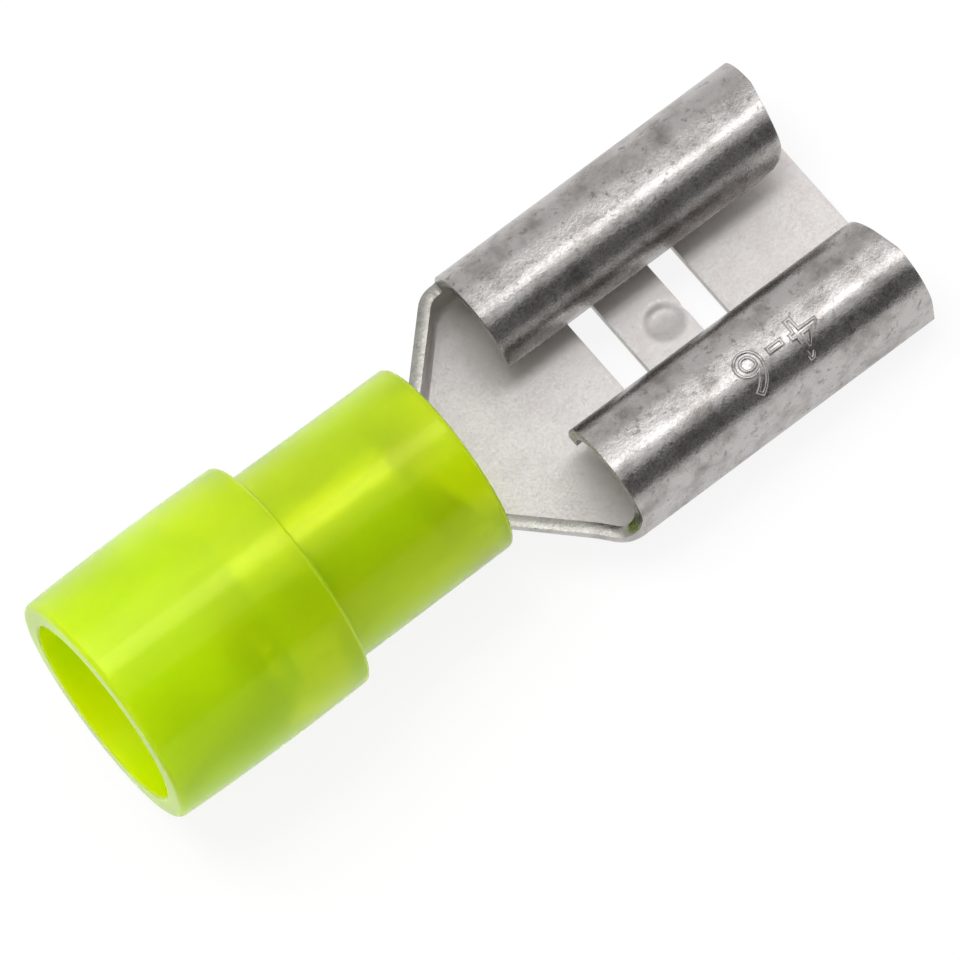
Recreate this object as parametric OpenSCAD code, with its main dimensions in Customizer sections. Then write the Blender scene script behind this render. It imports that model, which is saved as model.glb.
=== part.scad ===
// Female spade terminal with a moulded insulating sleeve.
// One blank of tinned sheet is folded into a push-on receptacle, a dished neck and a wire barrel.
// +X runs from the wire entry to the tab entry, +Z away from the floor plate.
// The origin is on the barrel's axis, at the rear face of the sleeve.

/* [Sheet] */
// Thickness of the sheet that the terminal is folded from
sheet_t = 0.4; // [0.3:0.05:0.5]

/* [Receptacle] */
// Width over the two rolled wings
receptacle_w = 10.7; // [10.2:0.1:12]
// Height over the rolled wings
receptacle_h = 3.2; // [2.9:0.1:3.8]
// Length of the rolled wings
receptacle_len = 11.62; // [10:0.1:14]
// Width of each rolled wing, from its side wall to its lip
roll_w = 3.8; // [3.3:0.1:4.4]
// Angle that the end of each wing turns through, past the top of the roll
lip_turn = 95; // [80:5:110]
// Outer radius of the fold between the floor plate and a wing
floor_bend_r = 0.6; // [0.55:0.05:0.9]
// How far the front edge of a wing falls back towards its lip
wing_sweep = 0.5; // [0:0.1:1]
// Radius of the lead-in corner at the front of each lip
lip_corner_r = 1.05; // [0.5:0.05:1.2]

/* [Floor plate] */
// Distance from the rear of the wings to the rear slot
rear_slot_from = 2.61; // [2:0.1:3.2]
// Length of metal between the two slots
slot_bar_len = 2.19; // [1.8:0.05:2.6]
// Size of each slot along the terminal
slot_len = 1.02; // [0.6:0.02:1.4]
// Size of each slot across the terminal
slot_w = 8.2; // [6:0.1:8.8]
// Diameter of the pressed dimple
dimple_d = 1.5; // [1:0.1:1.6]
// Depth of the pressed dimple
dimple_h = 0.16; // [0.06:0.02:0.24]
// Metal left between the dimple and the front slot
dimple_edge = 0.08; // [0.04:0.02:0.4]

/* [Neck] */
// Height of the low flanges beside the neck
flange_h = 1.2; // [0.9:0.1:1.5]
// Outer radius of the fold along the neck, rounder than the receptacle's
neck_bend_r = 0.75; // [0.7:0.05:0.9]
// Angle at which the neck widens, measured from the axis
flare_angle = 46; // [40:1:52]
// Radius where the neck starts to widen
flare_start_r = 1; // [0.5:0.1:1.6]
// Radius where the neck runs into the side of the receptacle
flare_end_r = 0.8; // [0.4:0.1:1.2]
// Straight length between the end of the flare and the rear of the wings
neck_land = 0.2; // [0.1:0.05:0.5]
// Length over which the tube opens out into the flat floor of the neck
opening_len = 2.7; // [2:0.1:3.4]

/* [Wire barrel] */
// Inner diameter of the wire barrel
barrel_id = 4; // [3.4:0.1:4.4]
// Length of the wire barrel up to where it opens
barrel_len = 6; // [5:0.1:7]
// How far the neck's throat is pressed in from the barrel, which stops the wire
wire_stop = 0.1; // [0.06:0.02:0.2]
// Width of the seam along the barrel
seam_w = 0.15; // [0.05:0.05:0.3]

/* [Sleeve] */
// Outer diameter of the sleeve at its wire end
sleeve_rear_d = 8.22; // [7.6:0.1:9]
// How much the wire end bulges on the radius
sleeve_crown = 0.08; // [0.02:0.02:0.2]
// Length of the wide wire end
sleeve_rear_len = 7.45; // [6.5:0.1:8.5]
// Outer diameter of the sleeve over the barrel, at the shoulder
sleeve_front_d = 6.96; // [6.5:0.1:7.4]
// Length of the narrow front of the sleeve
sleeve_front_len = 6.25; // [5.5:0.1:7]
// Taper of the narrow front on the diameter
sleeve_taper = 0.1; // [0:0.02:0.2]
// Wall of the sleeve at its mouth
mouth_wall = 0.8; // [0.6:0.05:1]
// Depth of the straight bore at the mouth
mouth_len = 3.45; // [2.5:0.1:4]
// Length of the funnel that leads the wire into the barrel
funnel_len = 2; // [1.5:0.1:2.8]
// Radius on the outer edges of the sleeve
sleeve_edge_r = 0.2; // [0.1:0.05:0.3]
// Radius in the corner under the shoulder
shoulder_fillet_r = 0.15; // [0.05:0.05:0.3]
// Gap between the barrel and the bore of the sleeve, on the radius
sleeve_fit = 0.02; // [0.01:0.01:0.05]

/* [Hidden] */
$fn = 96;
eps = 0.01;

// Barrel, which the neck starts just inside of
neck_lap = 0.1;
barrel_r = barrel_id / 2 + sheet_t;
floor_z = -barrel_r;
barrel_seat_x = mouth_len + funnel_len;
barrel_x = barrel_seat_x + sleeve_fit;
opening_x = barrel_x + barrel_len;
throat_x = opening_x + opening_len;
neck_x = opening_x - neck_lap;

// Neck: the flare is a straight run between two tangent arcs
half_w = receptacle_w / 2;
throat_r = barrel_r - wire_stop;
flare_rise = half_w - throat_r;
flare_tan = tan(flare_angle);
start_tangent = flare_start_r * tan(flare_angle / 2);
end_tangent = flare_end_r * tan(flare_angle / 2);
flare_corner_x = throat_x - start_tangent;
flare_end_x = flare_corner_x + flare_rise / flare_tan + end_tangent;
wing_x = flare_end_x + neck_land;
front_x = wing_x + receptacle_len;
flange_fillet_r = receptacle_h / 2 - flange_h;
fold_steps = 13;
opening_steps = 10;
flare_steps = 12;

// Receptacle
roll_r = receptacle_h / 2;
wall_y = half_w - roll_r;
lip_y = half_w - roll_w + roll_r;
rear_slot_x = wing_x + rear_slot_from;
front_slot_x = rear_slot_x + slot_len + slot_bar_len;
dimple_x = front_slot_x - dimple_d / 2 - dimple_edge;

// Sleeve
sleeve_len = sleeve_rear_len + sleeve_front_len;
mouth_r = sleeve_rear_d / 2 - mouth_wall;
seat_r = barrel_r + sleeve_fit;
crown_x = sleeve_rear_len * 0.55;
crown_r = crown_x * crown_x / (2 * sleeve_crown);

// Half-width of the neck over its flanges at a place along it
function neck_half_w(x) =
    x <= flare_corner_x - start_tangent ? throat_r :
    x <= flare_corner_x + start_tangent * cos(flare_angle) ?
        throat_r + flare_start_r
        - sqrt(pow(flare_start_r, 2) - pow(x - flare_corner_x + start_tangent, 2)) :
    x <= flare_end_x - flare_end_r * sin(flare_angle) ?
        throat_r + (x - flare_corner_x) * flare_tan :
    x < flare_end_x ?
        half_w - flare_end_r + sqrt(pow(flare_end_r, 2) - pow(flare_end_x - x, 2)) :
    half_w;

// Slope of the flange in plan, which makes its cut wider across the terminal
function neck_slope(x) = (neck_half_w(x + eps) - neck_half_w(x - eps)) / (2 * eps);

// Share of the way from round tube to flat floor, easing in and out
function opened(x) =
    let (u = max(0, min(1, (x - opening_x) / opening_len))) u * u * (3 - 2 * u);

// Height of the straight part of a flange, which sweeps up into the wing at the end
function flange_rise(x) =
    opened(x) * (flange_h - neck_bend_r)
    + (x < wing_x - flange_fillet_r ? 0 :
       flange_fillet_r - sqrt(max(0, pow(flange_fillet_r, 2) - pow(x - wing_x + flange_fillet_r, 2))));

// One point of the folded section, kept off the middle so that the tube's seam stays open.
// turn is how far the sheet has bent there, and rise how far it has run on straight after that.
// depth is 0 on the outside of the sheet and sheet_t on its inside.
function fold_point(x, side, turn, rise, depth) =
    let (r = bend_r(x),
         stretch = sqrt(1 + pow(neck_slope(x) * sin(turn), 2)),
         y = neck_half_w(x) - r + (r - depth * stretch) * sin(turn) + rise * cos(turn),
         z = r - (r - depth) * cos(turn) + rise * sin(turn))
    [x, side * max(seam_w, y), floor_z + wire_stop * (1 - opened(x)) + z];

// Outer radius of the bend, from the tube's own radius to that of a sharp fold
function bend_r(x) = throat_r + (neck_bend_r - throat_r) * opened(x);

// Half of the section, from the floor to the top of the flange, in steps of equal length
function fold_side(x, side, depth) =
    let (seam_half = asin(seam_w / throat_r),
         full_turn = 180 - seam_half + (seam_half - 90) * opened(x),
         bend_len = bend_r(x) * full_turn * PI / 180,
         length = bend_len + flange_rise(x))
    [for (i = [0:fold_steps])
        let (s = length * i / fold_steps)
        fold_point(x, side, min(full_turn, full_turn * s / bend_len), max(0, s - bend_len), depth)];

function reversed(list) = [for (i = [len(list) - 1:-1:0]) list[i]];

// The closed section of the sheet: along its outside and back along its inside
function fold_section(x) =
    concat(reversed(fold_side(x, -1, 0)), fold_side(x, 1, 0),
           reversed(fold_side(x, 1, sheet_t)), fold_side(x, -1, sheet_t));

// A skin through closed sections, each running out along one side of a sheet and back along the other
module loft(sections) {
    n = len(sections[0]);
    last = len(sections) - 1;
    points = [for (section = sections) for (point = section) point];
    sides = [for (i = [0:last - 1]) for (j = [0:n - 1])
             let (a = i * n + j, b = i * n + (j + 1) % n)
             for (face = [[a, b + n, b], [a, a + n, b + n]]) face];
    near_end = [for (j = [0:n / 2 - 2])
                for (face = [[j, j + 1, n - 2 - j], [j, n - 2 - j, n - 1 - j]]) face];
    far_end = [for (face = near_end) [for (corner = [2:-1:0]) last * n + face[corner]]];
    polyhedron(points, concat(sides, near_end, far_end));
}

// A stretch of sheet bent round a centre, seen along the fold
module bend(outer_r, from, to) {
    reach = 2 * outer_r;
    difference() {
        circle(outer_r);
        circle(outer_r - sheet_t);
        rotate(from) translate([-reach, -2 * reach]) square([2 * reach, 2 * reach]);
        rotate(to) translate([-reach, 0]) square([2 * reach, 2 * reach]);
    }
}

// One wing seen along the terminal: fold, side wall, roll and turned-down lip
module wing_section() {
    translate([half_w - floor_bend_r, floor_bend_r]) bend(floor_bend_r, -90, 0);
    translate([half_w - sheet_t, floor_bend_r]) square([sheet_t, roll_r - floor_bend_r]);
    translate([wall_y, roll_r]) bend(roll_r, 0, 90);
    translate([lip_y, receptacle_h - sheet_t]) square([wall_y - lip_y, sheet_t]);
    translate([lip_y, roll_r]) bend(roll_r, 90, 90 + lip_turn);
}

// The whole receptacle section, with its floor at the bottom
module receptacle_section() {
    translate([floor_bend_r - half_w, 0]) square([receptacle_w - 2 * floor_bend_r, sheet_t]);
    wing_section();
    mirror([1, 0]) wing_section();
}

// Stands a section up across the terminal and draws it out along X
module along_x(length) {
    rotate([90, 0, 90]) linear_extrude(length) children();
}

// Takes the front of the wings back towards their lips, clear of the floor plate
module wing_sweep_cut() {
    lip_edge_y = half_w - roll_w;
    translate([0, 0, floor_z + sheet_t + eps])
        linear_extrude(receptacle_h)
            polygon([[front_x, wall_y], [front_x - wing_sweep, lip_edge_y],
                     [front_x - wing_sweep, -lip_edge_y], [front_x, -wall_y],
                     [front_x + 1, -wall_y], [front_x + 1, wall_y]]);
}

// Rounds the front corner of both lips
module lip_corner_cut() {
    corner_x = front_x - wing_sweep - lip_corner_r;
    corner_z = floor_z + roll_r * (1 - sin(lip_turn - 90)) + lip_corner_r;
    span = 2 * (half_w - roll_w + sheet_t + eps);
    translate([corner_x, span / 2, corner_z])
        rotate([90, 0, 0])
            linear_extrude(span)
                difference() {
                    translate([0, -lip_corner_r - eps]) square(lip_corner_r + eps);
                    circle(lip_corner_r);
                }
}

module slot(x) {
    translate([x, -slot_w / 2, floor_z - 1]) cube([slot_len, slot_w, sheet_t + 2]);
}

// A shallow round pressing: the same cap is hollowed from above the floor and stands out below it
module dimple_cap(z) {
    cap_r = (pow(dimple_d / 2, 2) + pow(dimple_h, 2)) / (2 * dimple_h);
    intersection() {
        translate([dimple_x, 0, z - dimple_h + cap_r]) sphere(cap_r);
        translate([dimple_x, 0, z - dimple_h - eps]) cylinder(h = dimple_h + 2 * eps, d = dimple_d);
    }
}

module receptacle() {
    difference() {
        union() {
            translate([wing_x, 0, floor_z]) along_x(receptacle_len) receptacle_section();
            dimple_cap(floor_z);
        }
        slot(rear_slot_x);
        slot(front_slot_x);
        dimple_cap(floor_z + sheet_t);
        wing_sweep_cut();
        lip_corner_cut();
    }
}

// The tube opens into a floor with low flanges and widens to the receptacle
module neck() {
    opening = [for (i = [0:opening_steps]) neck_x + (throat_x - neck_x) * i / opening_steps];
    flare = [for (i = [1:flare_steps]) throat_x + (wing_x - throat_x) * i / flare_steps];
    loft([for (x = concat(opening, flare)) fold_section(x)]);
}

module wire_barrel() {
    translate([barrel_x, 0, 0])
        difference() {
            rotate([0, 90, 0]) cylinder(h = barrel_len, r = barrel_r);
            translate([-1, 0, 0]) rotate([0, 90, 0]) cylinder(h = barrel_len + 2, d = barrel_id);
            translate([-1, -seam_w / 2, 0]) cube([barrel_len + 2, seam_w, barrel_r + 1]);
        }
}

module terminal() {
    color("#b9b6b2") {
        receptacle();
        neck();
        wire_barrel();
    }
}

// Removes the outer corner of a revolved edge; dir is 1 at a front edge and -1 at a rear one
module edge_round(r, x, dir) {
    translate([r - sleeve_edge_r, x - dir * sleeve_edge_r])
        difference() {
            translate([0, dir > 0 ? 0 : -sleeve_edge_r - eps]) square(sleeve_edge_r + eps);
            circle(sleeve_edge_r);
        }
}

// Outside of the sleeve as a half-section: radius across, length up
module sleeve_outside() {
    rear_end_r = sleeve_rear_d / 2;
    shoulder_r = rear_end_r + sleeve_crown
        - crown_r + sqrt(pow(crown_r, 2) - pow(sleeve_rear_len - crown_x, 2));
    front_base_r = sleeve_front_d / 2;
    front_end_r = front_base_r - sleeve_taper / 2;
    difference() {
        union() {
            intersection() {
                square([sleeve_rear_d, sleeve_rear_len]);
                translate([rear_end_r + sleeve_crown - crown_r, crown_x])
                    circle(crown_r, $fn = 1440);
            }
            polygon([[0, sleeve_rear_len - 1], [front_base_r, sleeve_rear_len - 1],
                     [front_base_r, sleeve_rear_len], [front_end_r, sleeve_len], [0, sleeve_len]]);
            translate([front_base_r - eps, sleeve_rear_len - eps])
                difference() {
                    square(shoulder_fillet_r + eps);
                    translate([shoulder_fillet_r + eps, shoulder_fillet_r + eps])
                        circle(shoulder_fillet_r);
                }
        }
        edge_round(rear_end_r, 0, -1);
        edge_round(shoulder_r, sleeve_rear_len, 1);
        edge_round(front_end_r, sleeve_len, 1);
    }
}

// Inside of the sleeve: mouth, funnel and the seat that grips the barrel
module sleeve_inside() {
    polygon([[0, -1], [mouth_r, -1], [mouth_r, mouth_len], [barrel_id / 2, barrel_seat_x],
             [seat_r, barrel_seat_x], [seat_r, sleeve_len + 1], [0, sleeve_len + 1]]);
}

module insulation_sleeve() {
    color("#b8e000", 0.85)
        rotate([0, 90, 0])
            rotate_extrude()
                difference() {
                    sleeve_outside();
                    sleeve_inside();
                }
}

terminal();
insulation_sleeve();
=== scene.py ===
"""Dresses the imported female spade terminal.

It makes the folded sheet, the moulded sleeve, a wire size mark and a stage round them.
"""

import math
from types import SimpleNamespace

import bmesh
import bpy
from bpy.props import FloatProperty, FloatVectorProperty, PointerProperty, StringProperty
from mathutils import Matrix, Vector


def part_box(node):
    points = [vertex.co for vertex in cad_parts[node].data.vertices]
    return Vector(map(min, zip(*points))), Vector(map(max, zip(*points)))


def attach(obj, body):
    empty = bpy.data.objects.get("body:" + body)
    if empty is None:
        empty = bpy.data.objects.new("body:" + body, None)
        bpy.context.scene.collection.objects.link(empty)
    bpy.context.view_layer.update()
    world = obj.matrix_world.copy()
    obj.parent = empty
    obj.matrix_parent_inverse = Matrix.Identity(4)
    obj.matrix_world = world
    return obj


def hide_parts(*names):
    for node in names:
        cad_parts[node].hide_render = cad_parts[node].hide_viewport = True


bl_info = {
    "name": "Female Spade Terminal",
    "version": (1, 0, 0),
    "blender": (4, 5, 0),
    "location": "3D View > Sidebar > Spade Terminal",
    "description": "Finishes a push-on spade terminal around its packed CAD solids",
    "category": "Object",
}

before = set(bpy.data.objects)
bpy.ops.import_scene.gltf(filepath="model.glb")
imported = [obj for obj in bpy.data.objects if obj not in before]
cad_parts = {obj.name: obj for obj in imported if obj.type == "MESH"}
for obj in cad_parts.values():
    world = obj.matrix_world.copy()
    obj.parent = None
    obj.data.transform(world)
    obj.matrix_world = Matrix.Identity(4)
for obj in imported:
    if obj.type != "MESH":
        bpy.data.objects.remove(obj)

MM = 0.001
SHEET_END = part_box("terminal")[1] / MM
SLEEVE_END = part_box("insulation_sleeve")[1] / MM
FRONT_X = SHEET_END.x
HALF_W = SHEET_END.y


# --- settings ----------------------------------------------------------------


def linear(hex_colour):
    """An sRGB hex colour as linear red, green, blue and alpha."""
    values = [int(hex_colour[i : i + 2], 16) / 255 for i in (1, 3, 5)]
    return [v / 12.92 if v <= 0.04045 else ((v + 0.055) / 1.055) ** 2.4 for v in values] + [1.0]


def length(name, description, millimetres):
    """A length as a property, which Blender keeps in metres."""
    return FloatProperty(
        name=name, description=description, default=millimetres * MM, min=0,
        subtype="DISTANCE", precision=5,
    )


def colour(name, description, hex_colour):
    """A colour as a property."""
    return FloatVectorProperty(
        name=name, description=description, subtype="COLOR", size=4, min=0, max=1,
        default=linear(hex_colour),
    )


def in_mm(settings):
    """The values of a group of settings, with its lengths in millimetres."""
    values = {}
    for name in settings.__annotations__:
        value = getattr(settings, name)
        if settings.bl_rna.properties[name].subtype == "DISTANCE":
            value /= MM
        values[name] = value
    return SimpleNamespace(**values)


class SheetSettings(bpy.types.PropertyGroup):
    """The folded sheet."""

    thickness: length("Thickness", "Thickness of the sheet", 0.4)
    height: length("Height", "Height of the receptacle over its rolled wings", 3.2)
    wing_len: length("Wing length", "Length of the rolled wings", 11.62)
    roll_w: length("Roll width", "Width of one rolled wing", 3.8)
    lip_turn: FloatProperty(
        name="Lip turn", description="How far the lip turns down past the top",
        default=math.radians(95), subtype="ANGLE",
    )
    floor_bend_r: length("Fold radius", "Outer radius of the folds beside the floor", 0.6)
    wing_sweep: length("Sweep", "How far the front edge of the wings sweeps back", 0.5)
    lip_corner_r: length("Lip corner", "Radius of the front corner of each lip", 1.05)
    barrel_r: length("Barrel radius", "Outer radius of the wire barrel", 2.4)
    barrel_rear: length("Barrel start", "Where the wire barrel starts", 5.47)
    barrel_len: length("Barrel length", "Length of the wire barrel", 6.0)
    opening_len: length("Opening", "Length over which the tube opens to a floor", 2.7)
    flange_h: length("Flange height", "Height of the flanges beside the neck", 1.2)
    slot_len: length("Slot length", "Length of each slot along the terminal", 1.02)
    slot_w: length("Slot width", "Width of each slot across the terminal", 8.2)
    front_slot: length("Front slot", "From the front slot's front edge to the plate's front", 4.79)
    slot_bar: length("Slot bar", "Length of the bar between the slots", 2.19)
    edge_r: length("Edge radius", "Rounding left on the sheared edges", 0.035)
    dimple_d: length("Dimple", "Diameter of the pressed dimple", 1.5)
    dimple_depth: length("Dimple depth", "Depth of the pressed dimple", 0.13)
    outer_tin: colour("Outer tin", "Tin on the face that the rollers burnished", "#b9b6b4")
    tarnish: colour("Tarnish", "Outer tin where it has dulled", "#8c8784")
    inner_tin: colour("Inner tin", "Tin on the matt inner face and on the barrel", "#dfdbd9")
    inner_dull: colour("Dull inner tin", "Inner tin where it has dulled", "#d6d1cf")
    edge_tin: colour("Edge tin", "Tin on the sheared edges", "#a8a7a0")


class SleeveSettings(bpy.types.PropertyGroup):
    """The moulded sleeve."""

    rear_r: length("Rear radius", "Outer radius at the wire end", 4.11)
    crown: length("Crown", "How far the wire end bulges", 0.08)
    rear_len: length("Rear length", "Length of the wide wire end", 7.45)
    front_r: length("Front radius", "Outer radius over the barrel", 3.48)
    taper: length("Taper", "How much the front narrows on the radius", 0.05)
    mouth_r: length("Mouth radius", "Radius of the bore at the mouth", 3.31)
    mouth_len: length("Mouth length", "Depth of the straight bore", 3.45)
    funnel_len: length("Funnel length", "Length of the funnel", 2.0)
    seat_r: length("Seat radius", "Radius of the bore over the barrel", 2.42)
    edge_r: length("Edge radius", "Rounding on the outer edges", 0.2)
    clear: colour("Clear nylon", "Colour of the light that passes through the nylon", "#f6f800")
    body: colour("Nylon", "Colour of the light that the nylon scatters", "#c6e200")
    # A painted glow: the nylon's emission, which stands in for the dye's fluorescence and lightens
    # its shaded side evenly.
    painted_glow: colour("Glow", "Colour that the dye in the nylon gives off", "#98e400")
    gloss: colour("Gloss", "Tint of the gloss on the nylon", "#fff8a0")


class MarkSettings(bpy.types.PropertyGroup):
    """The wire size pressed up on one wing."""

    text: StringProperty(name="Mark", description="Wire size in square millimetres", default="4-6")
    height: length("Height", "Height of the figures", 1.5)
    relief: length("Relief", "How far the figures stand up", 0.05)


class StageSettings(bpy.types.PropertyGroup):
    """The light and the paper."""

    key: FloatProperty(
        name="Key", description="Power of the strip softbox", default=0.085, min=0,
        unit="POWER", precision=3,
    )
    fill: FloatProperty(
        name="Fill", description="Power of the broad light", default=0.45, min=0,
        unit="POWER", precision=3,
    )
    sky: FloatProperty(
        name="Sky", description="Strength of the even light from around", default=0.9, min=0,
    )
    paper_glow: FloatProperty(
        name="Paper", description="How far the floor is lifted to plain white", default=0.88,
        min=0, max=1, subtype="FACTOR",
    )


# --- materials ---------------------------------------------------------------

# Widths of the pattern in the tin, in millimetres: soft patches, dull flecks and grains. Real
# grains are finer, and these are as coarse as they have to be to show.
TIN_PATCH, TIN_FLECK, TIN_GRAIN = 1.1, 0.3, 0.1
# How high the patches and the grains stand in the bump, in millimetres
PATCH_RELIEF, GRAIN_RELIEF = 0.04, 0.01
# How much rougher and smoother than its mean the tin gets from grain to grain
GRAIN_CONTRAST = 0.07

# Width of the clouds in the nylon, and how deep light gets into it, in millimetres
NYLON_CLOUD, NYLON_DEPTH = 2.6, 1.2
# How much clearer the nylon is where it lies tight on the barrel, and where that starts and is
# full, in millimetres from the barrel's end
TIGHT_CLEAR, TIGHT_START, TIGHT_FULL = 0.12, -1.0, 1.5

# The Mix node has sockets of the same name for each type, so its colours go by number
MIX_FROM, MIX_TO, MIX_COLOUR = 6, 7, 2


def add(tree, kind, links=(), **settings):
    """Adds a node, sets its properties and sockets, and links its inputs.

    The links are (socket name, source socket) pairs.
    """
    node = tree.nodes.new(kind)
    sockets = settings.pop("sockets", {})
    for name, value in settings.items():
        setattr(node, name, value)
    for name, value in sockets.items():
        node.inputs[name].default_value = value
    for name, source in links:
        tree.links.new(source, node.inputs[name])
    return node


def new_material(name):
    """An empty node material and its node tree."""
    made = bpy.data.materials.new(name)
    made.use_nodes = True
    made.node_tree.nodes.clear()
    return made, made.node_tree


def tin_plate(name, clean, dull, roughness, bump_strength):
    """Tin electroplate: soft patches, small dull flecks and a fine uneven grit in the sheen."""
    made, tree = new_material(name)
    place = add(tree, "ShaderNodeTexCoord").outputs["Object"]
    patches, flecks, grains = [
        add(
            tree, "ShaderNodeTexNoise", [("Vector", place)],
            sockets={"Scale": 1 / (width * MM), "Detail": detail, "Roughness": fineness},
        ).outputs["Fac"]
        for width, detail, fineness in (
            (TIN_PATCH, 6, 0.65), (TIN_FLECK, 5, 0.75), (TIN_GRAIN, 2, 0.6),
        )
    ]
    soft, unflecked = [
        add(
            tree, "ShaderNodeMapRange", [("Value", pattern)],
            sockets={"From Min": dullest, "From Max": cleanest},
        ).outputs[0]
        for pattern, dullest, cleanest in ((patches, 0.3, 0.65), (flecks, 0.35, 0.45))
    ]
    cleanness = add(
        tree, "ShaderNodeMath", [(0, soft), (1, unflecked)], operation="MULTIPLY"
    ).outputs[0]
    share = add(
        tree, "ShaderNodeMapRange", [("Value", cleanness)], sockets={"From Max": 0.75}
    ).outputs[0]
    tint = add(
        tree, "ShaderNodeMix", [("Factor", share)], data_type="RGBA",
        sockets={MIX_FROM: dull, MIX_TO: clean},
    ).outputs[MIX_COLOUR]
    rough = add(
        tree, "ShaderNodeMapRange", [("Value", grains)],
        sockets={
            "From Min": 0.3, "From Max": 0.7,
            "To Min": roughness + GRAIN_CONTRAST, "To Max": roughness - GRAIN_CONTRAST,
        },
    ).outputs[0]
    ripple = add(
        tree, "ShaderNodeBump", [("Height", patches)],
        sockets={"Strength": bump_strength, "Distance": PATCH_RELIEF * MM},
    ).outputs[0]
    grit = add(
        tree, "ShaderNodeBump", [("Height", grains), ("Normal", ripple)],
        sockets={"Strength": bump_strength, "Distance": GRAIN_RELIEF * MM},
    ).outputs[0]
    shader = add(
        tree, "ShaderNodeBsdfPrincipled",
        [("Base Color", tint), ("Roughness", rough), ("Normal", grit)],
        sockets={"Metallic": 1.0},
    )
    add(tree, "ShaderNodeOutputMaterial", [("Surface", shader.outputs[0])])
    return made


def outer_tin(sheet):
    """Tin electroplate over brass on the face that slid over the rollers.

    It gives the eye a grey burnished metal with a sparkling streak, dull flecks and soft patches.
    """
    return tin_plate("burnished_tin_plate", sheet.outer_tin, sheet.tarnish, 0.27, 0.5)


def inner_tin(sheet):
    """Tin electroplate over brass on the face that no tool rubbed.

    It gives the eye a pale matt metal with almost no pattern.
    """
    return tin_plate("matt_tin_plate", sheet.inner_tin, sheet.inner_dull, 0.56, 0.15)


def edge_tin(sheet):
    """Tin electroplate over a sheared brass edge.

    It gives the eye a thin glittering line round the sheet, a little yellower than its faces.
    """
    return tin_plate("tin_plated_edge", sheet.edge_tin, sheet.tarnish, 0.3, 0.5)


def barrel_tin(sheet):
    """Tin electroplate over brass on the barrel, where the sleeve has kept it clean.

    It gives the eye the bright streak and the dark side that show through the nylon.
    """
    return tin_plate("bright_tin_plate", sheet.inner_tin, sheet.inner_dull, 0.27, 0.5)


def dyed_nylon(sleeve, barrel_x):
    """Injection-moulded polyamide with a fluorescent dye.

    It gives the eye a clear yellow that lets the barrel show through, and a green scatter lifted
    by a painted glow.
    It is cloudiest at the wire end, and clearest where it lies tight on the barrel.
    """
    made, tree = new_material("moulded_polyamide")
    place = add(tree, "ShaderNodeTexCoord").outputs["Object"]
    gloss = {"IOR": 1.58, "Specular Tint": sleeve.gloss}
    # This scattering shader carries the painted glow: an emission that lightens the shaded side
    # evenly, standing in for the dye's fluorescence.
    painted_glow = add(
        tree, "ShaderNodeBsdfPrincipled",
        sockets={
            **gloss, "Base Color": sleeve.body, "Roughness": 0.1, "Subsurface Weight": 1.0,
            "Subsurface Radius": (1.0, 1.0, 0.2), "Subsurface Scale": NYLON_DEPTH * MM,
            "Emission Color": sleeve.painted_glow, "Emission Strength": 0.12,
        },
    )
    clear = add(
        tree, "ShaderNodeBsdfPrincipled",
        sockets={
            **gloss, "Base Color": sleeve.clear, "Roughness": 0.3, "Transmission Weight": 1.0,
        },
    )
    along = add(tree, "ShaderNodeSeparateXYZ", [("Vector", place)]).outputs["X"]
    tight = add(
        tree, "ShaderNodeMapRange", [("Value", along)], interpolation_type="SMOOTHSTEP",
        sockets={
            "From Min": (barrel_x + TIGHT_START) * MM, "From Max": (barrel_x + TIGHT_FULL) * MM,
            "To Min": 0.0, "To Max": TIGHT_CLEAR,
        },
    ).outputs[0]
    cloud = add(
        tree, "ShaderNodeTexNoise", [("Vector", place)],
        sockets={"Scale": 1 / (NYLON_CLOUD * MM), "Detail": 1, "Roughness": 0.4},
    ).outputs["Fac"]
    clouds = add(
        tree, "ShaderNodeMapRange", [("Value", cloud)],
        sockets={"From Min": 0.35, "From Max": 0.65, "To Min": 0.45, "To Max": 0.58},
    ).outputs[0]
    share = add(tree, "ShaderNodeMath", [(0, clouds), (1, tight)], operation="ADD").outputs[0]
    mix = add(
        tree, "ShaderNodeMixShader", [(0, share), (1, painted_glow.outputs[0]), (2, clear.outputs[0])]
    )
    add(tree, "ShaderNodeOutputMaterial", [("Surface", mix.outputs[0])])
    return made


# --- helpers for shapes ------------------------------------------------------


def linked(bm, name, materials):
    """Turns a bmesh that is in millimetres into an object of the scene."""
    mesh = bpy.data.meshes.new(name)
    bm.transform(Matrix.Scale(MM, 4))
    bm.to_mesh(mesh)
    bm.free()
    for material in materials:
        mesh.materials.append(material)
    made = bpy.data.objects.new(name, mesh)
    bpy.context.scene.collection.objects.link(made)
    return made


def finished(bm, name, materials, smooth_angle=30):
    """Turns a bmesh that is in millimetres into a piece that rides on the terminal."""
    piece = linked(bm, name, materials)
    piece.data.shade_smooth()
    piece.data.set_sharp_from_angle(angle=math.radians(smooth_angle))
    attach(piece, "root")
    return piece


def steps(start, end, count):
    """Even places from start to end, both included."""
    return [start + (end - start) * i / count for i in range(count + 1)]


def joined(*runs):
    """Runs of places joined into one list, without the shared ends."""
    return [runs[0][0]] + [value for run in runs for value in run[1:]]


def arc(x, radius, bend, start, end, count):
    """Points on an arc of radius bend whose centre is at (x, radius)."""
    return [
        (x + bend * math.cos(turn), radius + bend * math.sin(turn))
        for turn in steps(start, end, count)
    ]


def eased(share):
    """A smooth run from 0 to 1, level at both ends."""
    share = max(0.0, min(1.0, share))
    return share * share * (3 - 2 * share)


# --- the folded sheet --------------------------------------------------------


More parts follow.
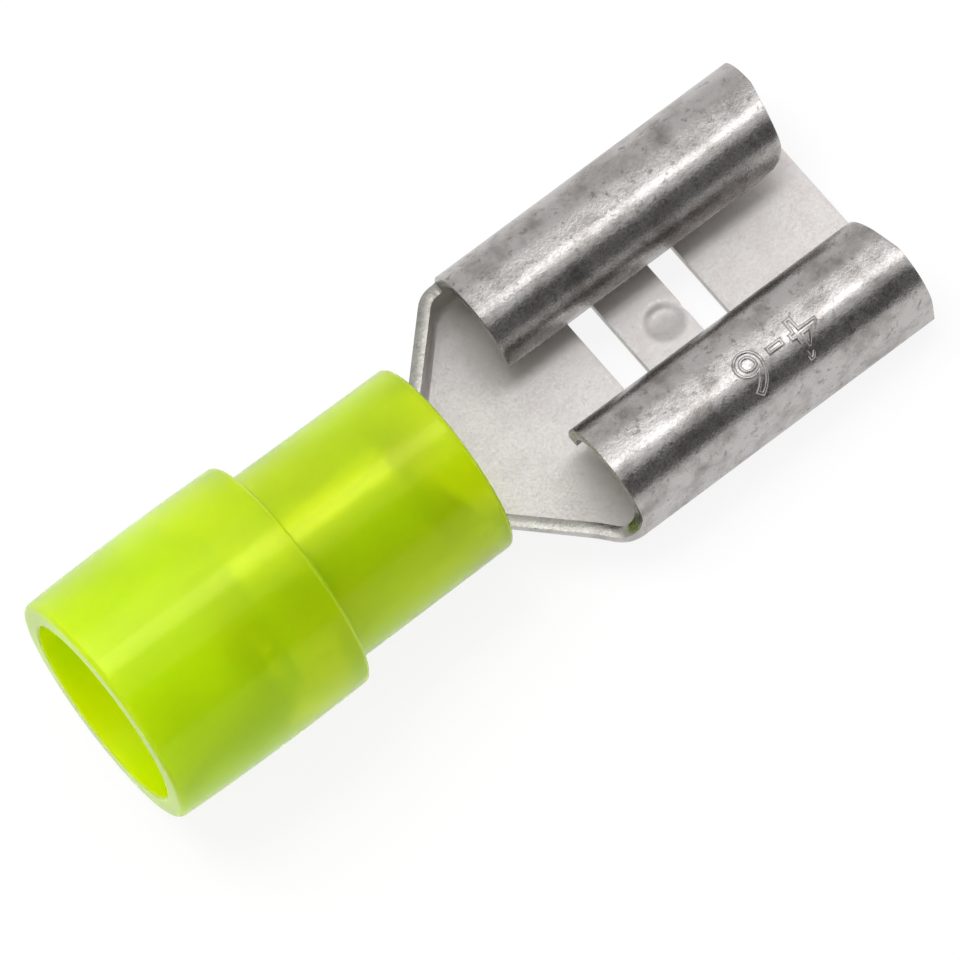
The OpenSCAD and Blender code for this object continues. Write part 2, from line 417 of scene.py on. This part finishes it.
class Fold:
    """Where each point of the flat blank lies once the sheet is folded, in millimetres.

    A point is x along the terminal and s across it, measured along the sheet from the middle
    line. Its folded place is on the middle of the sheet's thickness. Side is 1 for the left half
    of the sheet, seen from the wire end, and -1 for the right half.
    """

    FLARE_ANGLE = math.radians(46)
    FLARE_START_R = 1.0
    FLARE_END_R = 0.8
    NECK_BEND_R = 0.75
    # The neck's wall starts this far inside the barrel's and stops the wire
    WIRE_STOP = 0.1
    SEAM_HALF = 0.01
    # The folding left one flange higher than the other, and the right one leaning in
    FLANGE_BIAS = 0.35
    LEAN = 0.2
    LEAN_START = 1.0
    LEAN_EASE = 0.25
    # The dimple sits to the left, close behind the front slot, and its left wall is steeper
    DIMPLE_Y = 0.1
    DIMPLE_GAP = 0.04
    DIMPLE_TILT = 0.7
    # A fine line across the neck that the folding tool pressed
    LINE_BACK = 0.5
    LINE_HALF_W = 0.06
    LINE_HALF_LEN = 1.6
    LINE_DEPTH = 0.012

    def __init__(self, sheet):
        self.half_t = sheet.thickness / 2
        self.floor_z = -sheet.barrel_r
        self.throat_r = sheet.barrel_r - self.WIRE_STOP
        self.rear_x = sheet.barrel_rear
        self.opening_x = sheet.barrel_rear + sheet.barrel_len
        self.throat_x = self.opening_x + sheet.opening_len
        self.wing_x = FRONT_X - sheet.wing_len
        self.roll_r = sheet.height / 2
        self.wall_y = HALF_W - self.roll_r
        self.lip_y = HALF_W - sheet.roll_w + self.roll_r
        self.lip_turn = sheet.lip_turn
        self.fold_r = sheet.floor_bend_r
        self.flange_h = sheet.flange_h
        front_end = FRONT_X - sheet.front_slot
        rear_end = front_end - sheet.slot_len - sheet.slot_bar
        self.slots = [(end - sheet.slot_len, end) for end in (rear_end, front_end)]
        self.dimple_r = sheet.dimple_d / 2
        self.dimple_depth = sheet.dimple_depth
        self.dimple_x = self.slots[1][0] - self.dimple_r - self.DIMPLE_GAP
        self.line_x = self.wing_x - self.LINE_BACK
        start = self.FLARE_START_R * math.tan(self.FLARE_ANGLE / 2)
        end = self.FLARE_END_R * math.tan(self.FLARE_ANGLE / 2)
        run = (HALF_W - self.throat_r) / math.tan(self.FLARE_ANGLE)
        self.corner_x = self.throat_x - start
        self.flare_start = self.throat_x - 2 * start
        self.flare_end = self.corner_x + run + end

    def flange_top(self, side):
        """Height of the flange on one side of the neck."""
        return self.flange_h + side * self.FLANGE_BIAS

    def half_width(self, x, side):
        """Half-width over the flange on one side of the neck."""
        if side > 0:
            return self.even_half_width(x)
        start = self.opening_x + self.LEAN_START
        along = (x - start) / (self.wing_x - start)
        lean = self.LEAN * eased(min(along, 1 - along) / self.LEAN_EASE)
        return self.even_half_width(x) - lean

    def even_half_width(self, x):
        """Half-width of the neck as it was meant to be: an arc, a straight flare and an arc."""
        sine, cosine = math.sin(self.FLARE_ANGLE), math.cos(self.FLARE_ANGLE)
        start_r, end_r = self.FLARE_START_R, self.FLARE_END_R
        if x <= self.flare_start:
            return self.throat_r
        if x <= self.corner_x + (self.corner_x - self.flare_start) * cosine:
            reach = x - self.flare_start
            return self.throat_r + start_r - math.sqrt(start_r**2 - reach**2)
        if x <= self.flare_end - end_r * sine:
            return self.throat_r + (x - self.corner_x) * math.tan(self.FLARE_ANGLE)
        if x < self.flare_end:
            reach = self.flare_end - x
            return HALF_W - end_r + math.sqrt(end_r**2 - reach**2)
        return HALF_W

    def opened(self, x):
        """Share of the way from tube to flat floor."""
        return eased((x - self.opening_x) / (self.throat_x - self.opening_x))

    def bend_r(self, x):
        """Outer radius of the bend beside the floor."""
        if x >= self.wing_x:
            return self.fold_r
        near = max(0.0, min(1.0, (x - self.throat_x) / (self.wing_x - self.throat_x)))
        neck = self.NECK_BEND_R + (self.fold_r - self.NECK_BEND_R) * near * near
        return self.throat_r + (neck - self.throat_r) * self.opened(x)

    def floor_end(self, x, side):
        """Where the floor stops being flat, across the terminal."""
        return max(0.0, self.half_width(x, side) - self.bend_r(x))

    def full_turn(self, x):
        """How far the sheet turns up from the floor."""
        seam = math.asin(self.SEAM_HALF / self.throat_r)
        return math.pi - seam + (seam - math.pi / 2) * self.opened(x)

    def bend_len(self, x):
        """Length of the bend along the middle of the sheet."""
        return (self.bend_r(x) - self.half_t) * self.full_turn(x)

    def top_run(self):
        """Lengths of a wing's roll, flat top and lip along the middle of the sheet."""
        mid_r = self.roll_r - self.half_t
        return mid_r * math.pi / 2, self.wall_y - self.lip_y, mid_r * self.lip_turn

    def pressed(self, x, y):
        """How far the floor is pressed down by the dimple and the tool's line."""
        from_middle = (y - self.DIMPLE_Y) / self.dimple_r
        away = math.hypot((x - self.dimple_x) / self.dimple_r, from_middle)
        steeper = 1 + self.DIMPLE_TILT * from_middle
        dimple = self.dimple_depth * steeper * max(0.0, 1 - away**3)
        on_line = abs(x - self.line_x) < self.LINE_HALF_W and abs(y) < self.LINE_HALF_LEN
        return dimple + (self.LINE_DEPTH if on_line else 0.0)

    def point(self, x, s, side):
        """The folded place of a point of the floor, the bend or the wall."""
        bend_r = self.bend_r(x)
        mid_r = bend_r - self.half_t
        floor_end = self.floor_end(x, side)
        base = self.floor_z + self.WIRE_STOP * (1 - self.opened(x))
        if s <= floor_end:
            return Vector((x, side * s, base + self.half_t - self.pressed(x, side * s)))
        s -= floor_end
        turn = min(s / mid_r, self.full_turn(x))
        rise = max(0.0, s - self.bend_len(x))
        y = floor_end + mid_r * math.sin(turn) + rise * math.cos(turn)
        z = bend_r - mid_r * math.cos(turn) + rise * math.sin(turn)
        return Vector((x, side * y, base + z))

    def roll_point(self, x, s, side):
        """The folded place of a point s past the start of the roll."""
        mid_r = self.roll_r - self.half_t
        roll, top, _ = self.top_run()
        if s <= roll:
            turn, centre_y = s / mid_r, self.wall_y
        elif s <= roll + top:
            turn, centre_y = math.pi / 2, self.wall_y - (s - roll)
        else:
            turn, centre_y = math.pi / 2 + (s - roll - top) / mid_r, self.lip_y
        y = centre_y + mid_r * math.cos(turn)
        z = self.floor_z + self.roll_r + mid_r * math.sin(turn)
        return Vector((x, side * y, z))


class Blank:
    """The grid of the flat blank: where its rows and columns lie, and what is cut out of it."""

    # Half-width of the strip of fine columns that carries the dimple
    FINE_HALF = 1.0
    # Most of the neck's floor that the columns of the slots may take up
    SLOT_SHARE = 0.86
    # Length of the wings over which their front edge is swept back
    SWEEP_LEN = 3.0
    # How many columns each zone beside the slots has
    ZONES = {"rest": 3, "bend": 9, "wall": 6, "roll": 12, "top": 3, "lip": 14}

    def __init__(self, sheet):
        self.sheet = sheet
        self.fold = Fold(sheet)
        self.rows, self.wing_row = self.places_along()
        self.columns = self.places_across()
        zones = [zone for zone, _ in self.columns]
        self.slot_edge = zones.index("rest") - 1
        self.wall_top = zones.index("roll") - 1

    def places_along(self):
        """Rows from the wire end to the front, and which one starts the wings."""
        fold = self.fold
        (slot_rear, bar_rear), (bar_front, slot_front) = fold.slots
        rear = joined(
            steps(fold.rear_x, fold.opening_x, 8),
            steps(fold.opening_x, fold.throat_x, 22),
            steps(fold.throat_x, fold.wing_x, 30),
        )
        front = joined(
            steps(fold.wing_x, slot_rear, 16),
            steps(slot_rear, bar_rear, 6),
            steps(bar_rear, bar_front, 34),
            steps(bar_front, slot_front, 6),
            steps(slot_front, FRONT_X, 28),
        )
        return joined(rear, front), len(rear) - 1

    def places_across(self):
        """Columns from the middle to the edge of the lip, as (zone, share of it).

        On the floor the share is the distance from the middle.
        """
        fine = steps(0, self.FINE_HALF, 16)
        coarse = steps(self.FINE_HALF, self.sheet.slot_w / 2, 12)
        columns = [("floor", place) for place in joined(fine, coarse)]
        for zone, count in self.ZONES.items():
            columns += [(zone, i / count) for i in range(1, count + 1)]
        return columns

    def folded_mesh(self):
        """The folded sheet before it gets its thickness."""
        last_row, last_column = len(self.rows) - 1, len(self.columns) - 1
        bm = bmesh.new()
        bmesh.ops.create_grid(bm, x_segments=last_row, y_segments=2 * last_column, size=1)
        spots = {}
        for vert in bm.verts:
            row = round((vert.co.x + 1) / 2 * last_row)
            column = round((vert.co.y + 1) * last_column) - last_column
            spots[vert] = (row, abs(column), 1 if column >= 0 else -1)
        gone = [face for face in bm.faces if self.is_cut([spots[vert] for vert in face.verts])]
        bmesh.ops.delete(bm, geom=gone, context="FACES")
        for vert in bm.verts:
            vert.co = self.folded(*spots[vert])
        bmesh.ops.recalc_face_normals(bm, faces=bm.faces)
        return bm

    def is_cut(self, corners):
        """Whether a face of the grid lies in a slot, or above the neck's flanges."""
        row = sum(corner[0] for corner in corners) / 4
        column = sum(corner[1] for corner in corners) / 4
        x = sum(self.rows[corner[0]] for corner in corners) / 4
        if row < self.wing_row and column > self.wall_top:
            return True
        return column < self.slot_edge and any(start < x < end for start, end in self.fold.slots)

    def folded(self, row, column, side):
        """Where one vertex of the grid ends up."""
        zone, share = self.columns[column]
        x = self.rows[row]
        if zone in ("roll", "top", "lip"):
            return self.rolled(zone, share, x, side)
        flat = self.across(zone, share, x, side)
        throat_x = self.fold.throat_x
        if x < throat_x:
            # The tube's columns are even, and close up into their places on the flat floor
            even = self.across(zone, share, throat_x, side)
            even *= self.across("wall", 1.0, x, side) / self.across("wall", 1.0, throat_x, side)
            flat = even + (flat - even) * self.fold.opened(x)
        return self.fold.point(x, flat, side)

    def across(self, zone, share, x, side):
        """How far across the blank a column of the floor, the bend or the wall lies."""
        fold = self.fold
        floor_end = fold.floor_end(x, side)
        slot_half = min(self.sheet.slot_w / 2, floor_end * self.SLOT_SHARE)
        if zone == "floor":
            return share / (self.sheet.slot_w / 2) * slot_half
        if zone == "rest":
            return slot_half + (floor_end - slot_half) * share
        if zone == "bend":
            return floor_end + fold.bend_len(x) * share
        return floor_end + fold.bend_len(x) + self.wall_height(x, side) * share

    def wall_height(self, x, side):
        """Height above the bend of the flange, its fillet up to the wing, or the wing."""
        fold = self.fold
        if x >= fold.wing_x - 1e-6:
            return fold.roll_r - fold.fold_r
        flange = fold.flange_top(side)
        height = fold.opened(x) * (flange - fold.bend_r(x))
        fillet = fold.roll_r - flange
        reach = x - (fold.wing_x - fillet)
        if reach > 0:
            height += fillet - math.sqrt(max(0.0, fillet**2 - reach**2))
        return max(height, 0.0)

    def rolled(self, zone, share, x, side):
        """A place on a wing's roll or lip, with its front edge swept back and its corner round."""
        sheet, fold = self.sheet, self.fold
        roll, top, lip = fold.top_run()
        start, run = {"roll": (0.0, roll), "top": (roll, top), "lip": (roll + top, lip)}[zone]
        past = start + run * share
        y = abs(fold.roll_point(x, past, side).y)
        reach = (fold.wall_y - y) / (fold.wall_y - (HALF_W - sheet.roll_w))
        sweep = sheet.wing_sweep * max(0.0, min(1.0, reach))
        inset = max(0.0, sheet.lip_corner_r - (roll + top + lip - past))
        corner = sheet.lip_corner_r - math.sqrt(max(0.0, sheet.lip_corner_r**2 - inset**2))
        near_front = max(0.0, 1 - (FRONT_X - x) / self.SWEEP_LEN)
        return fold.roll_point(x - (sweep + corner) * near_front, past, side)


class SPADE_OT_sheet(bpy.types.Operator):
    """Folds the blank into the receptacle, neck and wire barrel"""

    bl_idname = "spade.sheet"
    bl_label = "Folded sheet"

    INNER, EDGE, BARREL = 1, 2, 3
    SHARP_EDGE = math.radians(50)

    def execute(self, context):
        sheet = in_mm(context.scene.spade_sheet)
        blank = Blank(sheet)
        bm = blank.folded_mesh()
        for face in bm.faces:
            if face.calc_center_median().x < blank.fold.opening_x:
                face.material_index = self.BARREL
        piece = finished(
            bm, "folded_sheet",
            [outer_tin(sheet), inner_tin(sheet), edge_tin(sheet), barrel_tin(sheet)],
        )
        wall = piece.modifiers.new("Thickness", "SOLIDIFY")
        wall.thickness = sheet.thickness * MM
        wall.offset = 0
        wall.use_even_offset = True
        wall.material_offset = self.INNER
        wall.material_offset_rim = self.EDGE
        edges = piece.modifiers.new("Sheared edges", "BEVEL")
        edges.width = sheet.edge_r * MM
        edges.segments = 2
        edges.limit_method = "ANGLE"
        edges.angle_limit = self.SHARP_EDGE
        edges.use_clamp_overlap = True
        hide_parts("terminal")
        return {"FINISHED"}


# --- the pressed mark --------------------------------------------------------


class SPADE_OT_mark(bpy.types.Operator):
    """Presses the outlined wire size up on the right wing"""

    bl_idname = "spade.mark"
    bl_label = "Wire size mark"

    LINE_R = 0.07
    # Middle of the figures, behind the wings' front and round the roll from its flat top
    CENTRE_X = 5.1
    CENTRE_ARC = 0.35
    # Height of a figure as a share of the font's size, and the space between figures
    FIGURE_SHARE = 0.7
    SPACING = 1.15

    def execute(self, context):
        mark = in_mm(context.scene.spade_mark)
        sheet = in_mm(context.scene.spade_sheet)
        fold = Fold(sheet)
        bm = bmesh.new()
        bm.from_mesh(self.flat_figures(context, mark))
        bmesh.ops.remove_doubles(bm, verts=bm.verts, dist=1e-4)
        sink = self.LINE_R - mark.relief
        for vert in bm.verts:
            vert.co = self.on_roll(fold, vert.co, sink)
        bmesh.ops.recalc_face_normals(bm, faces=bm.faces)
        finished(bm, "wire_size_mark", [outer_tin(sheet)], 60)
        return {"FINISHED"}

    def flat_figures(self, context, mark):
        """The outlines of the figures as a flat mesh of round lines, in millimetres."""
        text = bpy.data.curves.new("mark_text", "FONT")
        text.body = mark.text
        text.size = mark.height / self.FIGURE_SHARE
        text.align_x, text.align_y = "CENTER", "CENTER"
        text.space_character = self.SPACING
        text.resolution_u = 6
        text.fill_mode = "NONE"
        text.bevel_depth = self.LINE_R
        text.bevel_resolution = 2
        figures = bpy.data.objects.new("mark_text", text)
        context.scene.collection.objects.link(figures)
        context.view_layer.update()
        mesh = bpy.data.meshes.new_from_object(
            figures.evaluated_get(context.evaluated_depsgraph_get())
        )
        bpy.data.objects.remove(figures)
        return mesh

    def on_roll(self, fold, spot, sink):
        """Wraps a spot of the flat figures round the right roll, reading towards the wire end."""
        x = FRONT_X - self.CENTRE_X - spot.x
        across = self.CENTRE_ARC + spot.y
        radius = fold.roll_r + spot.z - sink
        centre_z = fold.floor_z + fold.roll_r
        if across <= 0:
            return Vector((x, -(fold.wall_y + across), centre_z + radius))
        turn = across / fold.roll_r
        y = fold.wall_y + radius * math.sin(turn)
        return Vector((x, -y, centre_z + radius * math.cos(turn)))


# --- the sleeve --------------------------------------------------------------


class SPADE_OT_sleeve(bpy.types.Operator):
    """Spins the moulded sleeve round the barrel"""

    bl_idname = "spade.sleeve"
    bl_label = "Insulating sleeve"

    # Where the wire end is widest, as a share of its length
    CROWN_SHARE = 0.55
    FILLET = 0.15
    INNER_EDGE = 0.06
    # How far the step that covers the barrel's end stands in from the bore
    BARREL_STOP = 0.42
    FACETS = 160

    def execute(self, context):
        sleeve = in_mm(context.scene.spade_sleeve)
        barrel_x = in_mm(context.scene.spade_sheet).barrel_rear
        bm = bmesh.new()
        outline = self.outer_outline(sleeve) + self.inner_outline(sleeve)
        verts = [bm.verts.new((x, 0, radius)) for x, radius in outline]
        edges = [bm.edges.new(pair) for pair in zip(verts, verts[1:] + verts[:1])]
        bmesh.ops.spin(
            bm, geom=verts + edges, cent=(0, 0, 0), axis=(1, 0, 0), angle=math.tau,
            steps=self.FACETS, use_merge=True,
        )
        bmesh.ops.remove_doubles(bm, verts=bm.verts, dist=1e-5)
        bmesh.ops.recalc_face_normals(bm, faces=bm.faces)
        piece = finished(bm, "moulded_sleeve", [dyed_nylon(sleeve, barrel_x)], 40)
        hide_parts("insulation_sleeve")
        return {"FINISHED"}

    def outer_outline(self, sleeve):
        """Points (x, radius) over the outside, from the mouth to the front."""
        r, fillet = sleeve.edge_r, self.FILLET
        crown_x = sleeve.rear_len * self.CROWN_SHARE
        crowned = [
            (x, sleeve.rear_r + sleeve.crown * (1 - ((x - crown_x) / crown_x) ** 2))
            for x in steps(r, sleeve.rear_len - r, 14)[1:]
        ]
        shoulder_r = crowned[-1][1]
        front_r = sleeve.front_r - sleeve.taper
        return (
            arc(r, sleeve.rear_r - r, r, math.pi, math.pi / 2, 6)
            + crowned
            + arc(sleeve.rear_len - r, shoulder_r - r, r, math.pi / 2, 0, 6)[1:]
            + arc(
                sleeve.rear_len + fillet, sleeve.front_r + fillet, fillet,
                math.pi, 1.5 * math.pi, 5,
            )
            + arc(SLEEVE_END.x - r, front_r - r, r, math.pi / 2, 0, 6)
        )

    def inner_outline(self, sleeve):
        """Points (x, radius) along the bore, from the front back to the mouth."""
        front_x, edge = SLEEVE_END.x, self.INNER_EDGE
        seat_x = sleeve.mouth_len + sleeve.funnel_len
        return [
            (front_x, sleeve.seat_r + edge), (front_x - edge, sleeve.seat_r),
            (seat_x, sleeve.seat_r), (seat_x, sleeve.seat_r - self.BARREL_STOP),
            (sleeve.mouth_len, sleeve.mouth_r), (edge, sleeve.mouth_r),
            (0, sleeve.mouth_r + edge),
        ]


# --- the stage ---------------------------------------------------------------


class SPADE_OT_stage(bpy.types.Operator):
    """Lays the floor, lights it softly and sets the camera"""

    bl_idname = "spade.stage"
    bl_label = "Stage"

    # The camera's own axes, its lens, and its distance from its target along those axes
    RIGHT = Vector((0.78769, -0.61081, -0.08039))
    UP = Vector((0.58564, 0.70186, 0.40549))
    BACK = Vector((-0.19126, -0.36648, 0.91056))
    LENS = 576.9
    RIGHTWARDS, UPWARDS, BACKWARDS = -11.1215, -8.6436, 487.98
    # What the floor touches: the sleeve's belly and the front edge of the plate
    BELLY = Vector((7.35, 0, -4.16))
    PLATE_FRONT = Vector((FRONT_X, 0, -2.4))
    FLOOR_GAP = 0.01
    FLOOR_SIZE = 6000
    # What the lamps are turned to
    MIDDLE = Vector((14, 0, 0))

    def execute(self, context):
        stage = context.scene.spade_stage
        self.floor(stage)
        self.world(context, stage)
        self.camera(context)
        self.lamps(context, stage)
        return {"FINISHED"}

    @staticmethod
    def seen_directly(tree):
        """1 for what the camera, a reflection or clear nylon shows, and 0 for what only lights."""
        rays = add(tree, "ShaderNodeLightPath").outputs
        shown = add(
            tree, "ShaderNodeMath", [(0, rays["Is Camera Ray"]), (1, rays["Is Glossy Ray"])],
            operation="MAXIMUM",
        )
        return add(
            tree, "ShaderNodeMath", [(0, shown.outputs[0]), (1, rays["Is Transmission Ray"])],
            operation="MAXIMUM",
        ).outputs[0]

    @staticmethod
    def flat_sheet(name, size, turn, place, material):
        """A flat sheet of the stage, turned and then put in its place, in millimetres."""
        bm = bmesh.new()
        bmesh.ops.create_grid(bm, x_segments=1, y_segments=1, size=0.5)
        bmesh.ops.scale(bm, vec=(*size, 1), verts=bm.verts)
        bmesh.ops.rotate(bm, cent=(0, 0, 0), matrix=turn, verts=bm.verts)
        bmesh.ops.translate(bm, vec=place, verts=bm.verts)
        made = linked(bm, name, [material])
        return made

    def floor(self, stage):
        """White paper under the terminal, as steep as the terminal lies on it."""
        made, tree = new_material("white_paper")
        paper = add(tree, "ShaderNodeBsdfDiffuse", sockets={"Color": linear("#f4f4f4")})
        white = add(tree, "ShaderNodeEmission", sockets={"Strength": 1.0})
        lifted = add(
            tree, "ShaderNodeMath", [(0, self.seen_directly(tree))], operation="MULTIPLY",
            sockets={1: stage.paper_glow},
        )
        mix = add(
            tree, "ShaderNodeMixShader",
            [(0, lifted.outputs[0]), (1, paper.outputs[0]), (2, white.outputs[0])],
        )
        add(tree, "ShaderNodeOutputMaterial", [("Surface", mix.outputs[0])])
        along = self.PLATE_FRONT - self.BELLY
        turn = Matrix.Rotation(-math.atan2(along.z, along.x), 3, "Y")
        place = self.BELLY - Vector((0, 0, self.FLOOR_GAP))
        self.flat_sheet("floor", (self.FLOOR_SIZE, self.FLOOR_SIZE), turn, place, made)

    def world(self, context, stage):
        """Even light from around, and white behind everything."""
        world = bpy.data.worlds.new("studio")
        context.scene.world = world
        world.use_nodes = True
        tree = world.node_tree
        tree.nodes.clear()
        even = add(tree, "ShaderNodeBackground", sockets={"Strength": stage.sky})
        white = add(tree, "ShaderNodeBackground", sockets={"Strength": 1.0})
        mix = add(
            tree, "ShaderNodeMixShader",
            [(0, self.seen_directly(tree)), (1, even.outputs[0]), (2, white.outputs[0])],
        )
        add(tree, "ShaderNodeOutputWorld", [("Surface", mix.outputs[0])])

    def camera(self, context):
        """A long lens above the wire end, turned as in a product shot."""
        data = bpy.data.cameras.new("camera")
        data.sensor_width = 36
        data.lens = self.LENS
        data.clip_start, data.clip_end = 0.01, 10
        camera = bpy.data.objects.new("camera", data)
        context.scene.collection.objects.link(camera)
        place = (
            self.PLATE_FRONT + self.RIGHTWARDS * self.RIGHT + self.UPWARDS * self.UP
            + self.BACKWARDS * self.BACK
        )
        turn = Matrix((self.RIGHT, self.UP, self.BACK)).transposed().to_4x4()
        camera.matrix_world = Matrix.Translation(place * MM) @ turn
        context.scene.camera = camera
        context.scene.view_settings.view_transform = "Standard"

    def lamps(self, context, stage):
        """A strip softbox overhead, a broad fill, and a dark card for contrast in the metal."""
        self.lamp(context, "key_strip", stage.key, size=(200, 60), place=(52, 29, 196))
        fill = self.lamp(
            context, "broad_fill", stage.fill, size=(160, 160), place=(-40, 110, 220)
        )
        fill.visible_glossy = False
        made, tree = new_material("grey_felt")
        felt = add(tree, "ShaderNodeBsdfDiffuse", sockets={"Color": linear("#6c6c6c")})
        add(tree, "ShaderNodeOutputMaterial", [("Surface", felt.outputs[0])])
        upright = Matrix.Rotation(math.pi / 2, 3, "X")
        card = self.flat_sheet(
            "dark_card", size=(500, 480), turn=upright, place=(60, -250, 295), material=made
        )
        card.visible_camera = False

    def lamp(self, context, name, power, size, place):
        """A rectangular lamp turned to the terminal, with the length of its size along it."""
        data = bpy.data.lights.new(name, "AREA")
        data.shape = "RECTANGLE"
        data.size, data.size_y = size[0] * MM, size[1] * MM
        data.energy = power
        lamp = bpy.data.objects.new(name, data)
        context.scene.collection.objects.link(lamp)
        aim = (Vector(place) - self.MIDDLE).normalized()
        across = aim.cross(Vector((1, 0, 0))).normalized()
        turn = Matrix((across.cross(aim), across, aim)).transposed().to_4x4()
        lamp.matrix_world = Matrix.Translation(Vector(place) * MM) @ turn
        return lamp


# --- the add-on --------------------------------------------------------------


class SPADE_PT_panel(bpy.types.Panel):
    """Lists the terminal's settings and what builds it"""

    bl_idname = "SPADE_PT_panel"
    bl_label = "Spade Terminal"
    bl_space_type = "VIEW_3D"
    bl_region_type = "UI"
    bl_category = "Spade Terminal"

    def draw(self, context):
        scene = context.scene
        groups = (
            (scene.spade_sheet, "spade.sheet"),
            (scene.spade_mark, "spade.mark"),
            (scene.spade_sleeve, "spade.sleeve"),
            (scene.spade_stage, "spade.stage"),
        )
        for settings, operator in groups:
            box = self.layout.box()
            for name in settings.__annotations__:
                box.prop(settings, name)
            box.operator(operator)


GROUPS = {
    "spade_sheet": SheetSettings,
    "spade_sleeve": SleeveSettings,
    "spade_mark": MarkSettings,
    "spade_stage": StageSettings,
}
OPERATORS = (SPADE_OT_sheet, SPADE_OT_mark, SPADE_OT_sleeve, SPADE_OT_stage)


def register():
    """Registers the classes and gives the scene its settings."""
    for cls in (*GROUPS.values(), *OPERATORS, SPADE_PT_panel):
        bpy.utils.register_class(cls)
    for name, group in GROUPS.items():
        setattr(bpy.types.Scene, name, PointerProperty(type=group))


def unregister():
    """Takes the settings and the classes away again."""
    for name in GROUPS:
        delattr(bpy.types.Scene, name)
    for cls in reversed((*GROUPS.values(), *OPERATORS, SPADE_PT_panel)):
        bpy.utils.unregister_class(cls)


def main():
    """Builds everything."""
    register()
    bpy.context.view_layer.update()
    bpy.ops.spade.sheet()
    bpy.ops.spade.mark()
    bpy.ops.spade.sleeve()
    bpy.ops.spade.stage()


if __name__ == "__main__":
    main()
